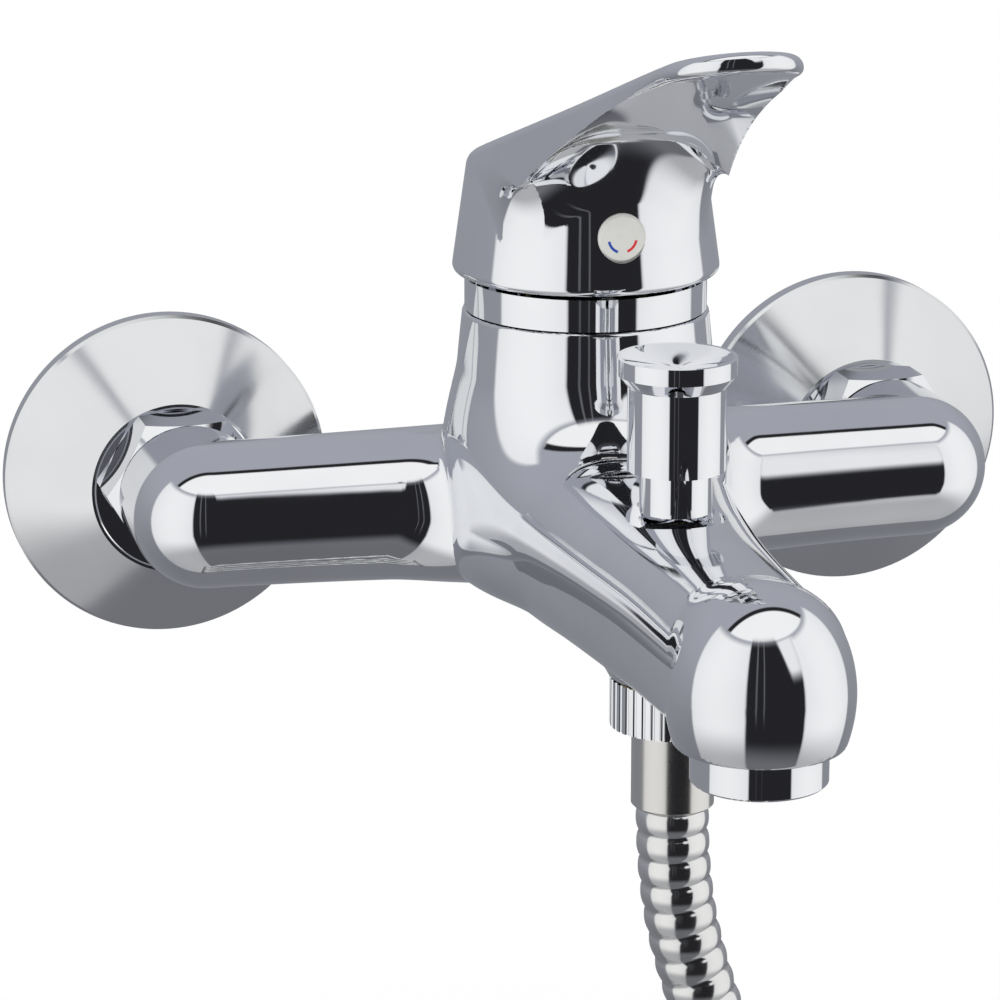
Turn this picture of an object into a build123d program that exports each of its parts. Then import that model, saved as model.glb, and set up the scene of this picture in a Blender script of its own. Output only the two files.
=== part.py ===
from build123d import *
import os
from math import cos, pi, radians, sin, sqrt, tan

# Wall-mounted bath mixer with a single lever, a pull diverter and a shower hose.
# Frame: the origin lies on the finished wall, midway between the two inlets and
# level with the arms. +X runs along the arms, -Y stands out from the wall, +Z is up.
# All lengths are in millimetres.

os.makedirs("parts", exist_ok=True)

# Clearances
run_gap = 0.1          # round parts that turn or slide in each other
seat_gap = 0.3         # loose parts that lie beside each other
thread_gap = 0.05      # between the crests of an outer and an inner thread
overlap = 1.0          # how far shapes of one casting reach into each other

# Wall connection
inlet_spacing = 150.0  # between the centres of the two wall outlets
union_offset = 2.2     # the wall end of each S-union lies this much lower
inlet_thread_r = 10.48     # G1/2 outside
tap_thread_r = 13.22       # G3/4 outside
inlet_thread_l = 18.0
union_bore_r = 7.5
union_collar_l = 8.0   # from the wall to the shoulder
union_front = 22.0     # from the wall to the end of the G3/4 thread

# Wall roses
rose_r = 33.8
rose_rim = 4.0
rose_depth = 15.5
rose_wall = 1.2
rose_mouth_r = 17.2

# Union nuts
nut_flats = 28.6
nut_back = 15.9
nut_front = 28.4
nut_lip = 2.4
tail_r = 9.8           # the tap's tail tube inside the nut
tail_flange_r = 12.2
washer_t = 2.0

# Tap body
arm_y = -44.5
arm_r = 14.6
arm_root_r = 16.5
arm_drop = 1.2         # the arms hang this much lower where they meet the body
arm_bore_r = 8.5
arm_web = 3.0          # half the metal left between the bores of the two arms
elbow_back = 29.3      # from the wall to the back of each elbow
body_y = -57.0
body_top = 41.0
body_top_r = 24.4
body_mid_r = 26.2
body_mid = 20.0
body_bulge = 0.4       # how far the upper body swells past a straight cone
body_bottom = -17.0
body_round = 14.0

# Spout
spout_y = -169.0       # axis of the nose and the aerator
nose_r = 17.0
nose_foot_r = 15.4
nose_bottom = -13.4
nose_wide_z = -4.0     # where the nose is widest
nose_top = 15.3
spout_root_w = 20.5    # half widths of the spout's sections, from the body outwards
spout_bend_w = 18.2
spout_neck_w = 16.6
spout_end_w = 15.6
spout_root_top = 26.0
spout_bend_top = 19.5
spout_neck_top = 14.6
spout_end_top = 14.3
spout_root_low = -16.8
spout_neck_low = -16.0
spout_bend = 0.45      # the bend's place between the body and the diverter
spout_square = 0.5     # how far the neck's corners fill out, from 0 to 1

# Aerator
aerator_r = 12.4
aerator_bottom = -20.3
aerator_thread_r = 11.0
aerator_thread_l = 6.0
aerator_wall = 1.2
aerator_edge = 0.4
insert_r = 9.6
insert_wall = 1.0
insert_pitch = 2.4     # between the rings of holes
insert_hole_r = 0.85
insert_rings = 3

# Cartridge
seat_z = 11.0
cartridge_r = 17.4
bore_gap = 0.35
port_r = 3.6
port_x = 8.0
port_y = 5.0
seal_h = 1.6
seal_wire = 1.5
base_bottom = 11.3
base_top = 15.0
disc_t = 3.0
fixed_disc_r = 15.6
moving_disc_r = 12.4
carrier_h = 5.0
housing_wall = 1.2
housing_top = 33.5
housing_neck_r = 14.4
housing_neck_top = 42.0
rotor_neck_r = 12.6
rotor_flange_r = 15.9
rotor_top = 45.0
pivot_z = 32.0
spindle_w = 8.0
spindle_top = 61.0
spindle_ball_r = 2.4
spindle_ball_rise = 2.6   # centre of the ball above the carrier's foot
spindle_neck_r = 1.8
spindle_square_low = 4.0  # the square part starts this far below the pivot
pin_r = 1.5
clamp_thread_r = 20.0
clamp_top = 41.6
clamp_hex_r = 17.6
clamp_hex_h = 3.4
lift_angle = 20.0      # how far the lever lifts, in degrees

# Cover ring
ring_r = 24.0
ring_top = 48.0
ring_wall = 2.2
ring_mouth_r = 18.2
ring_seat = 0.2        # gap between the casting and the ring
ring_edge = 0.5

# Lever
sleeve_bottom = 48.5
sleeve_r = 26.6
sleeve_draft = 8.0     # the sleeve narrows upwards by this angle
sleeve_wall = 1.7
sleeve_round = 1.6
cavity_top = 57.0
hub_r = 8.6
hub_bottom = 50.0
lever_tip_y = -147.0   # centre of the rounded tip
lever_tip_r = 12.4
lever_back_z = 64.2    # heights of the lever's top, from behind the sleeve forwards
lever_mid_y = -87.0
lever_mid_z = 84.6
lever_tip_z = 104.8
lever_front_z = 111.0
edge_back_z = 56.2     # heights of the lower edge of the lever's two sides
edge_root_y = -83.0
edge_root_z = 70.4
edge_mid_y = -116.0
edge_mid_z = 90.2
edge_tip_z = 101.0
edge_front_z = 106.0
scoop_root_w = 19.0    # half widths and depths of the hollow under the thumb rest
scoop_mid_w = 14.5
scoop_root_depth = 9.0
scoop_mid_depth = 2.0
scoop_tip_depth = 0.9
grub_z = 59.8
grub_r = 2.5
grub_l = 8.0
button_r = 4.75
button_t = 2.2
button_edge = 0.5
button_stem_r = 2.2
button_stem_l = 4.0

# Diverter
diverter_y = -118.0
knob_top = 45.0
knob_rim_r = 11.2
knob_rim_h = 3.2
knob_edge = 0.8
knob_chamfer_h = 2.4
knob_r = 9.2
knob_bottom = 23.6
knob_neck_r = 6.8
knob_foot_z = 15.6
knob_foot_r = 5.6
knob_foot_h = 3.6
knob_dish = 2.2
pull = 7.5             # travel of the knob
chamber_r = 8.8
ledge_t = 2.4
ledge_r = 5.6
bonnet_r = 7.2
bonnet_low = 5.0
bonnet_top = 11.2
recess_r = 7.6
stem_r = 2.5
valve_r = 7.6
valve_t = 2.2
valve_rubber_t = 1.6
spring_r = 4.5
spring_wire = 0.9
spring_turns = 5.0

# Shower outlet and hose
outlet_bore_r = 5.5
outlet_bottom = -21.5
outlet_top = -12.5
boss_r = 12.4
boss_bottom = -16.4
hose_nut_r = 12.1
hose_nut_top = -16.8
hose_nut_bottom = -26.0
hose_nut_lip = 1.3
hose_nut_ribs = 40
hose_nut_rib = 0.5
hose_washer_t = 1.8
hose_flange_r = 9.4
hose_flange_t = 1.3
hose_stem_r = 4.8
hose_bore_r = 3.6
hose_d = 14.0
ferrule_r = 7.9
ferrule_bottom = -42.3
ferrule_edge = 0.5
coil_r = 71.0
coil_turns = 3.0 + 1.0 / 6.0
coil_pitch = 14.6
coil_start = 120.0     # angle round the coil at which the hose joins it
coil_edge = 2.0
tail_l = 60.0
tie_w = 6.0
tie_t = 1.2
end_ferrule_l = 18.0
end_nut_l = 26.0
end_nut_r = 11.9
end_nut_top_r = 8.6
end_nut_rim = 2.0

# Worked-out places
inlet_x = inlet_spacing / 2
disc_face = base_top + disc_t
carrier_low = disc_face + disc_t
carrier_top = carrier_low + carrier_h
ball_z = carrier_low + spindle_ball_rise
disc_arm = pivot_z - ball_z
lift = radians(lift_angle)
disc_travel = disc_arm * lift
valve_low = outlet_top + run_gap
valve_top = valve_low + valve_rubber_t + valve_t
ledge_low = valve_top + pull + run_gap
sleeve_lean = tan(radians(sleeve_draft))
coil_width = coil_turns * coil_pitch + hose_d


def turned(profile, place=Location()):
    """A solid turned about Z from (radius, height) points, then put in place."""
    outline = Polyline(*[(r, 0, h) for r, h in profile], close=True)
    return place * revolve(make_face(outline), Axis.Z)


def rod(radius, low, high, place=Location()):
    """A round bar between two heights."""
    return place * Pos(0, 0, low) * extrude(Circle(radius), high - low)


def ring(outer, inner, low, high, place=Location()):
    """A washer or tube between two heights."""
    return rod(outer, low, high, place) - rod(inner, low, high, place)


def along_y(x, z):
    """A place whose local height runs out from the wall, along -Y."""
    return Location((x, 0, z), (90, 0, 0))


def along_x(y, z):
    """A place whose local height runs along +X."""
    return Location((0, y, z), (0, 90, 0))


def hexagon(flats, low, high, place, corners):
    """A hexagonal prism whose ends are chamfered by a turned blank."""
    prism = place * Pos(0, 0, low) * extrude(
        RegularPolygon(flats / sqrt(3), 6), high - low)
    cut = flats / sqrt(3) - flats / 2
    blank = turned([
        (0, low), (corners, low), (corners + cut, low + cut),
        (corners + cut, high - cut), (corners, high), (0, high)], place)
    return prism & blank


cartridge_axis = Pos(0, body_y, 0)
diverter_axis = Pos(0, diverter_y, 0)
nose_axis = Pos(0, spout_y, 0)


# Wall connection: one S-union, rose, nut and washer for each inlet

def s_union(side):
    """Eccentric connector with a thread for the wall, a round shoulder and a tap thread."""
    wall = along_y(side * inlet_x, -union_offset)
    tap = along_y(side * inlet_x, 0)
    shoulder_front = nut_back - seat_gap
    shank = rod(inlet_thread_r, -inlet_thread_l, union_collar_l, wall)
    shoulder = rod(rose_mouth_r - seat_gap, union_collar_l, shoulder_front, wall)
    head = rod(tap_thread_r, union_collar_l, union_front, tap)
    bore = rod(union_bore_r, -inlet_thread_l, shoulder_front, wall)
    bore += rod(union_bore_r, union_collar_l, union_front, tap)
    return shank + shoulder + head - bore


def wall_rose(side):
    """Pressed cone that hides the hole in the wall."""
    mouth = rose_mouth_r
    slope_r = rose_r - rose_wall
    return turned([
        (rose_r, 0), (rose_r, rose_rim - rose_wall / 2),
        (slope_r + rose_wall / 2, rose_rim), (mouth + rose_wall / 2, rose_depth),
        (mouth, rose_depth), (mouth, rose_depth - 2 * rose_wall),
        (slope_r - rose_wall, rose_rim - rose_wall), (slope_r - rose_wall / 2, 0),
    ], along_y(side * inlet_x, -union_offset))


def union_nut(side):
    """Hexagonal nut that pulls the tap's tail against the S-union."""
    place = along_y(side * inlet_x, 0)
    nut = hexagon(nut_flats, nut_back, nut_front, place, nut_flats / 2)
    nut -= rod(tap_thread_r + thread_gap, nut_back, nut_front - nut_lip, place)
    nut -= rod(tail_r + run_gap, nut_front - nut_lip, nut_front, place)
    return nut


def inlet_washer(side):
    """Flat fibre washer with a strainer-sized bore."""
    return ring(tail_flange_r, union_bore_r, union_front, union_front + washer_t,
                along_y(side * inlet_x, 0))


# Tap body: one casting with the arms, the cartridge chamber and the spout

def spout_section(y, half_w, low, high, square):
    """Rounded section of the spout, an ellipse whose corners may fill out."""
    mid, half_h = (low + high) / 2, (high - low) / 2
    corner = (1 / sqrt(2)) * (1 + square * (sqrt(2) - 1) / 2)
    points = [
        (half_w, mid), (half_w * corner, mid + half_h * corner),
        (0, high), (-half_w * corner, mid + half_h * corner),
        (-half_w, mid), (-half_w * corner, mid - half_h * corner),
        (0, low), (half_w * corner, mid - half_h * corner)]
    edge = Spline(*[(x, y, z) for x, z in points], periodic=True)
    return make_face(edge)


def spout_blank():
    """The spout from inside the body to the nose."""
    bend_y = body_y + (diverter_y - body_y) * spout_bend
    half_way = (diverter_y + spout_y) / 2
    end_low = nose_bottom + overlap
    shank = loft([
        spout_section(body_y, spout_root_w, spout_root_low, spout_root_top, 0),
        spout_section(bend_y, spout_bend_w, spout_root_low, spout_bend_top, spout_square),
        spout_section(diverter_y, spout_neck_w, spout_neck_low, spout_neck_top, spout_square),
        spout_section(half_way, spout_neck_w, (spout_neck_low + nose_bottom) / 2,
                      (spout_neck_top + nose_top) / 2, spout_square / 2),
        spout_section(spout_y + overlap, spout_end_w, end_low, spout_end_top, 0)])
    with BuildSketch(Plane.XZ) as half:
        with BuildLine():
            ThreePointArc(
                (0, nose_top),
                (nose_r / sqrt(2), nose_wide_z + (nose_top - nose_wide_z) / sqrt(2)),
                (nose_r, nose_wide_z))
            Polyline((nose_r, nose_wide_z), (nose_foot_r, nose_bottom), (0, nose_bottom),
                     (0, nose_top))
        make_face()
    nose = nose_axis * revolve(half.sketch, Axis.Z)
    boss = rod(boss_r, boss_bottom, spout_neck_low + boss_r / 2, diverter_axis)
    return shank + nose + boss


def arm_blank():
    """The left arm, which narrows outwards, with its elbow and the tail inside the nut."""
    left = along_y(-inlet_x, 0)
    root = Plane(origin=(0, arm_y, -arm_drop), x_dir=(0, 1, 0), z_dir=(-1, 0, 0))
    bend = Plane(origin=(-inlet_x, arm_y, 0), x_dir=(0, 1, 0), z_dir=(-1, 0, 0))
    arm = loft([root * Circle(arm_root_r), bend * Circle(arm_r)])
    arm += Pos(-inlet_x, arm_y, 0) * Sphere(arm_r)
    arm += rod(arm_r, elbow_back, -arm_y, left)
    arm += rod(tail_r, union_front + washer_t, elbow_back + overlap, left)
    arm += rod(tail_flange_r, union_front + washer_t, nut_front - nut_lip, left)
    return arm


def body_blank():
    """The outside of the casting."""
    round_mid = body_round * (1 - 1 / sqrt(2))
    with BuildSketch(Plane.XZ) as half:
        with BuildLine():
            Line((0, body_bottom), (body_mid_r - body_round, body_bottom))
            ThreePointArc(
                (body_mid_r - body_round, body_bottom),
                (body_mid_r - round_mid, body_bottom + round_mid),
                (body_mid_r, body_bottom + body_round))
            Line((body_mid_r, body_bottom + body_round), (body_mid_r, body_mid))
            ThreePointArc(
                (body_mid_r, body_mid),
                ((body_mid_r + body_top_r) / 2 + body_bulge, (body_mid + body_top) / 2),
                (body_top_r, body_top))
            Polyline((body_top_r, body_top), (0, body_top), (0, body_bottom))
        make_face()
    blank = cartridge_axis * revolve(half.sketch, Axis.Z)
    arm = arm_blank()
    return blank + arm + mirror(arm, about=Plane.YZ) + spout_blank()


def water_ways():
    """Everything that is bored or cored out of the casting."""
    chamber = rod(cartridge_r + bore_gap, seat_z, body_top, cartridge_axis)
    chamber += rod(clamp_thread_r + thread_gap, housing_top, body_top, cartridge_axis)
    cores = chamber
    for side in (-1, 1):
        reach = Location((0, arm_y, 0), (0, side * 90, 0))
        cores += rod(arm_bore_r, arm_web, inlet_x, reach)
        cores += Pos(side * inlet_x, arm_y, 0) * Sphere(arm_bore_r)
        cores += rod(arm_bore_r, union_front + washer_t, -arm_y,
                     along_y(side * inlet_x, 0))
        cores += rod(port_r, 0, seat_z, Pos(side * port_x, body_y + port_y, 0))
    mixed = Pos(0, body_y - port_x, 0)
    feed_z = (outlet_top + ledge_low) / 2
    cores += rod(port_r, feed_z, seat_z, mixed)
    cores += rod(port_r, -(body_y - port_x), -diverter_y, along_y(0, feed_z))
    cores += rod(chamber_r, outlet_top, ledge_low, diverter_axis)
    cores += rod(ledge_r, outlet_top, bonnet_top, diverter_axis)
    cores += rod(bonnet_r + thread_gap, ledge_low + ledge_t, spout_root_top,
                 diverter_axis)
    cores += rod(recess_r, bonnet_top, spout_root_top, diverter_axis)
    away_z = ledge_low + ledge_t + port_r + seat_gap
    cores += rod(port_r, -diverter_y, -spout_y, along_y(0, away_z))
    cores += rod(port_r * 2, nose_bottom, away_z + port_r, nose_axis)
    cores += rod(aerator_thread_r + thread_gap, nose_bottom,
                 nose_bottom + aerator_thread_l, nose_axis)
    cores += rod(inlet_thread_r + thread_gap, boss_bottom, outlet_top, diverter_axis)
    cores += rod(aerator_r + seat_gap, aerator_bottom, nose_bottom, nose_axis)
    return cores


main_body = body_blank() - water_ways()

# Cover ring over the cartridge nut
cover_ring = turned([
    (ring_r, body_top + ring_seat), (ring_r, ring_top - ring_edge), (ring_r - ring_edge, ring_top),
    (ring_mouth_r, ring_top), (ring_mouth_r, ring_top - ring_wall),
    (ring_r - ring_wall, ring_top - ring_wall), (ring_r - ring_wall, body_top + ring_seat),
], cartridge_axis)


# Cartridge, from the seat upwards

port_places = [(-port_x, port_y), (port_x, port_y), (0, -port_x)]


def with_ports(disc, radius, low, high):
    """The same piece with the hot, cold and mixed water passages cut."""
    for x, y in port_places:
        disc -= rod(radius, low, high, Pos(x, body_y + y, 0))
    return disc


cartridge_base = with_ports(
    rod(cartridge_r, base_bottom, base_top, cartridge_axis), port_r, base_bottom, base_top)
port_seals = []
for x, y in port_places:
    place = Pos(x, body_y + y, 0)
    pocket = port_r + seal_wire
    cartridge_base -= rod(pocket, base_bottom, seat_z + seal_h, place)
    port_seals.append(ring(pocket, port_r, seat_z, seat_z + seal_h, place))
port_seals = Compound(children=port_seals)

fixed_disc = with_ports(
    rod(fixed_disc_r, base_top, disc_face, cartridge_axis), port_r, base_top, disc_face)
hollow = Pos(0, body_y - port_x / 2, 0)
moving_disc = rod(moving_disc_r, disc_face, carrier_low, cartridge_axis)
moving_disc -= hollow * Pos(0, 0, disc_face) * extrude(
    SlotCenterToCenter(port_x, 2 * port_r, rotation=90), disc_t / 2)
disc_carrier = rod(moving_disc_r, carrier_low, carrier_top, cartridge_axis)
socket_r = spindle_ball_r + run_gap
neck_reach = spindle_neck_r / cos(lift) + (carrier_top - ball_z) * tan(lift) + run_gap
disc_carrier -= turned([
    (0, carrier_low), (socket_r, carrier_low), (socket_r, ball_z),
    (max(neck_reach, socket_r + run_gap), carrier_top), (0, carrier_top)], cartridge_axis)

housing_inner = cartridge_r - housing_wall
housing_roof = housing_top - 2 * housing_wall
cartridge_housing = turned([
    (housing_inner, base_top), (cartridge_r, base_top), (cartridge_r, housing_top),
    (housing_neck_r, housing_top), (housing_neck_r, housing_neck_top),
    (rotor_neck_r + run_gap, housing_neck_top), (rotor_neck_r + run_gap, housing_roof),
    (housing_inner, housing_roof)], cartridge_axis)

rotor_low = carrier_top + seat_gap
seal_low = housing_top + 2 * housing_wall
seal_depth = 1.2
groove = ring(rotor_neck_r, rotor_neck_r - seal_depth, seal_low, seal_low + seal_h,
              cartridge_axis)
reach_back = (rotor_top - pivot_z) * tan(lift) + spindle_w / 2 / cos(lift)
reach_front = spindle_square_low * tan(lift) + spindle_w / 2 / cos(lift)
slot_back, slot_front = reach_back + seat_gap, reach_front + seat_gap
slot = Pos(0, body_y + (slot_back - slot_front) / 2, (rotor_low + rotor_top) / 2) * Box(
    spindle_w + 2 * run_gap, slot_back + slot_front, rotor_top - rotor_low)
cartridge_rotor = turned([
    (0, rotor_low), (rotor_flange_r, rotor_low), (rotor_flange_r, housing_roof - run_gap),
    (rotor_neck_r, housing_roof - run_gap), (rotor_neck_r, rotor_top), (0, rotor_top),
], cartridge_axis)
pin_l = 2 * (rotor_neck_r - seat_gap)
pin_place = along_x(body_y, pivot_z)
cartridge_rotor -= slot + groove + rod(pin_r, -pin_l / 2, pin_l / 2, pin_place)
rotor_seal = ring(rotor_neck_r + run_gap / 2, rotor_neck_r - seal_depth,
                  seal_low, seal_low + seal_h, cartridge_axis)
pivot_pin = rod(pin_r, -pin_l / 2, pin_l / 2, pin_place)

square_low = pivot_z - spindle_square_low
cartridge_spindle = cartridge_axis * Pos(0, 0, (square_low + spindle_top) / 2) * Box(
    spindle_w, spindle_w, spindle_top - square_low)
cartridge_spindle += rod(spindle_neck_r, ball_z, square_low, cartridge_axis)
cartridge_spindle += cartridge_axis * Pos(0, 0, ball_z) * Sphere(spindle_ball_r)
cartridge_spindle -= rod(pin_r + run_gap, -spindle_w, spindle_w, pin_place)

cartridge_nut = ring(clamp_thread_r, housing_neck_r + seat_gap, housing_top, clamp_top,
                     cartridge_axis)
cartridge_nut += cartridge_axis * Pos(0, 0, clamp_top) * extrude(
    RegularPolygon(clamp_hex_r, 6) - Circle(housing_neck_r + seat_gap), clamp_hex_h)


# Lever: a cast cap whose front rises into a thumb rest that is hollow below

back_y = body_y + sleeve_r + overlap
tip_front_y = lever_tip_y - sleeve_r
lever_line = [(back_y, lever_back_z), (lever_mid_y, lever_mid_z), (lever_tip_y, lever_tip_z),
              (tip_front_y, lever_front_z)]
edge_line = [(tip_front_y, edge_front_z), (lever_tip_y, edge_tip_z), (edge_mid_y, edge_mid_z),
             (edge_root_y, edge_root_z), (body_y - spindle_w, edge_back_z)]


def lever_side():
    """Side view of the lever above the scoop's edge, as a face across the tap."""
    with BuildSketch(Plane.YZ) as view:
        with BuildLine():
            Spline(*lever_line)
            Line(lever_line[-1], edge_line[0])
            Spline(*edge_line)
            Polyline(edge_line[-1], (back_y, sleeve_bottom), lever_line[0])
        make_face()
    return view.sketch


def lever_top():
    """Everything below the top of the lever, for trimming the sleeve."""
    with BuildSketch(Plane.YZ) as view:
        with BuildLine():
            Spline(*lever_line)
            Polyline(lever_line[-1], (tip_front_y, sleeve_bottom), (back_y, sleeve_bottom),
                     lever_line[0])
        make_face()
    return view.sketch


def lever_plan():
    """Plan outline of the lever at the sleeve's foot: two circles and their tangents."""
    tip_r = lever_tip_r + sleeve_lean * (lever_tip_z - sleeve_bottom)
    span = body_y - lever_tip_y
    turn = (sleeve_r - tip_r) / span
    flat = sqrt(1 - turn * turn)
    root = [(s * sleeve_r * flat, body_y - sleeve_r * turn) for s in (-1, 1)]
    tip = [(s * tip_r * flat, lever_tip_y - tip_r * turn) for s in (-1, 1)]
    with BuildSketch() as plan:
        with BuildLine():
            Line(root[0], tip[0])
            ThreePointArc(tip[0], (0, lever_tip_y - tip_r), tip[1])
            Line(tip[1], root[1])
            ThreePointArc(root[1], (0, body_y + sleeve_r), root[0])
        make_face()
    return plan.sketch


def scoop():
    """Hollow under the thumb rest, lofted through circles that face along the lever."""
    rows = []
    for y, edge, half_w, depth in [
            (body_y - spindle_w, edge_back_z, scoop_root_w, scoop_root_depth),
            (edge_root_y, edge_root_z, scoop_root_w, scoop_root_depth),
            (edge_mid_y, edge_mid_z, scoop_mid_w, scoop_mid_depth),
            (lever_tip_y, edge_tip_z, lever_tip_r, scoop_tip_depth)]:
        radius = (half_w ** 2 + depth ** 2) / (2 * depth)
        plane = Plane(origin=(0, y, edge + depth - radius), x_dir=(1, 0, 0),
                      z_dir=(0, 1, 0))
        rows.append(plane * Circle(radius))
    return loft(rows)


lever_height = lever_tip_z - sleeve_bottom + sleeve_r / 2
blade = Pos(0, 0, sleeve_bottom) * extrude(lever_plan(), lever_height, taper=sleeve_draft)
blade &= extrude(lever_side(), 2 * sleeve_r, both=True)
blade -= scoop()
sleeve_top_r = sleeve_r - sleeve_lean * (lever_mid_z - sleeve_bottom)
sleeve = turned([
    (0, sleeve_bottom), (sleeve_r - sleeve_round, sleeve_bottom),
    (sleeve_r, sleeve_bottom + sleeve_round), (sleeve_top_r, lever_mid_z),
    (0, lever_mid_z)], cartridge_axis)
sleeve &= extrude(lever_top(), 2 * sleeve_r, both=True)
cavity = turned([
    (0, sleeve_bottom), (sleeve_r - sleeve_wall, sleeve_bottom),
    (sleeve_r - sleeve_wall - sleeve_lean * (cavity_top - sleeve_bottom), cavity_top),
    (0, cavity_top)], cartridge_axis)
hub = rod(hub_r, hub_bottom, cavity_top, cartridge_axis)
front_y = body_y - sleeve_r + sleeve_lean * (grub_z - sleeve_bottom)
grub_place = Location((0, 0, grub_z), (90, 0, 0))
spindle_front = -body_y + spindle_w / 2
lever_handle = blade + sleeve - cavity + hub
lever_handle -= cartridge_axis * Pos(0, 0, (hub_bottom + spindle_top) / 2) * Box(
    spindle_w + run_gap, spindle_w + run_gap, spindle_top - hub_bottom + 2 * seat_gap)
lever_handle -= rod(grub_r + thread_gap, -body_y, -front_y, grub_place)
lever_handle -= rod(button_r + run_gap, -front_y - button_t, -front_y + sleeve_r, grub_place)
grub_screw = rod(grub_r, spindle_front, spindle_front + grub_l, grub_place)
grub_screw -= grub_place * Pos(0, 0, spindle_front + grub_l / 2) * extrude(
    RegularPolygon(grub_r / 2, 6), grub_l / 2)
index_button = turned([
    (0, -front_y - button_t - button_stem_l), (button_stem_r, -front_y - button_t - button_stem_l),
    (button_stem_r, -front_y - button_t), (button_r, -front_y - button_t),
    (button_r, -front_y + seat_gap - button_edge), (button_r - button_edge, -front_y + seat_gap),
    (0, -front_y + seat_gap)], grub_place)


# Diverter: the knob lifts a valve from the hose outlet to the spout's ledge

foot_low = knob_foot_z - knob_foot_h
stem_top = knob_foot_z + 2 * stem_r
diverter_knob = turned([
    (0, foot_low), (knob_foot_r, foot_low), (knob_neck_r, knob_foot_z),
    (knob_neck_r, knob_bottom), (knob_r, knob_bottom),
    (knob_r, knob_top - knob_rim_h - knob_chamfer_h), (knob_rim_r, knob_top - knob_rim_h),
    (knob_rim_r, knob_top), (knob_rim_r - knob_edge, knob_top), (0, knob_top - knob_dish),
], diverter_axis)
diverter_knob -= rod(stem_r + thread_gap, foot_low, stem_top, diverter_axis)
diverter_spindle = rod(stem_r, valve_low, stem_top, diverter_axis)
diverter_washer = ring(valve_r, stem_r + thread_gap, valve_low,
                       valve_low + valve_rubber_t, diverter_axis)
diverter_valve = ring(valve_r, stem_r + thread_gap, valve_low + valve_rubber_t,
                      valve_top, diverter_axis)
bonnet_mid = (bonnet_low + bonnet_top) / 2
diverter_bonnet = ring(bonnet_r, stem_r + run_gap, bonnet_low, bonnet_top, diverter_axis)
diverter_bonnet -= ring(stem_r + 2 * seal_wire, stem_r, bonnet_mid - seal_h / 2,
                        bonnet_mid + seal_h / 2, diverter_axis)
bonnet_seal = ring(stem_r + 2 * seal_wire, stem_r + run_gap / 2, bonnet_mid - seal_h / 2,
                   bonnet_mid + seal_h / 2, diverter_axis)
spring_h = bonnet_low - valve_top - spring_wire - 2 * run_gap
spring_path = Helix(spring_h / spring_turns, spring_h, spring_r)
spring_start = Plane(origin=spring_path @ 0, z_dir=spring_path % 0)
diverter_spring = diverter_axis * Pos(0, 0, valve_top + spring_wire / 2 + run_gap) * sweep(
    spring_start * Circle(spring_wire / 2), path=spring_path, is_frenet=True)


# Aerator in the nose

aerator_step = nose_bottom - run_gap
washer_low = nose_bottom + aerator_thread_l - washer_t
aerator_housing = turned([
    (insert_r + run_gap, aerator_bottom + aerator_wall), (insert_r - insert_wall, aerator_bottom),
    (aerator_r - aerator_edge, aerator_bottom), (aerator_r, aerator_bottom + aerator_edge),
    (aerator_r, aerator_step), (aerator_thread_r, aerator_step),
    (aerator_thread_r, washer_low), (insert_r + run_gap, washer_low)], nose_axis)
aerator_washer = ring(aerator_thread_r, insert_r - washer_t, washer_low,
                      washer_low + washer_t, nose_axis)
insert_low = aerator_bottom + aerator_wall
aerator_insert = rod(insert_r, insert_low, washer_low, nose_axis)
aerator_insert -= rod(insert_r - insert_wall, insert_low + insert_pitch, washer_low, nose_axis)
for ring_no in range(1, insert_rings + 1):
    for hole in range(6 * ring_no):
        angle = 2 * pi * hole / (6 * ring_no)
        reach = ring_no * insert_pitch
        aerator_insert -= rod(insert_hole_r, insert_low, insert_low + insert_pitch, nose_axis * Pos(
            reach * cos(angle), reach * sin(angle), 0))


# Shower outlet, hose nut and the fittings of the hose

shower_outlet = ring(inlet_thread_r, outlet_bore_r, outlet_bottom, outlet_top, diverter_axis)
hose_washer = ring(hose_flange_r, hose_stem_r, outlet_bottom - hose_washer_t,
                   outlet_bottom, diverter_axis)
flange_top = outlet_bottom - hose_washer_t
flange_low = flange_top - hose_flange_t


def fluted(radius, low, high, place):
    """A round grip with fine upright grooves all round."""
    blank = extrude(Circle(radius), high - low)
    flute = extrude(Circle(hose_nut_rib), high - low)
    cuts = [Rot(0, 0, 360 * i / hose_nut_ribs) * Pos(radius + hose_nut_rib / 3, 0, 0) * flute
            for i in range(hose_nut_ribs)]
    return place * Pos(0, 0, low) * (blank - cuts)


hose_nut = fluted(hose_nut_r, hose_nut_bottom, hose_nut_top, diverter_axis)
hose_nut -= rod(inlet_thread_r + thread_gap, hose_nut_bottom + hose_nut_lip, hose_nut_top,
                diverter_axis)
hose_nut -= rod(hose_stem_r + seat_gap, hose_nut_bottom, hose_nut_top, diverter_axis)
hose_stem = ring(hose_flange_r, hose_bore_r, flange_low, flange_top, diverter_axis)
hose_stem += ring(hose_stem_r, hose_bore_r, ferrule_bottom, flange_low, diverter_axis)
ferrule_top = hose_nut_bottom - seat_gap
hose_ferrule = turned([
    (hose_stem_r, ferrule_bottom), (ferrule_r - ferrule_edge, ferrule_bottom),
    (ferrule_r, ferrule_bottom + ferrule_edge), (ferrule_r, ferrule_top - ferrule_edge),
    (ferrule_r - ferrule_edge, ferrule_top), (hose_stem_r, ferrule_top),
], diverter_axis)


# Hose: straight out of the ferrule, leaning a little, then into its coil

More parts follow.
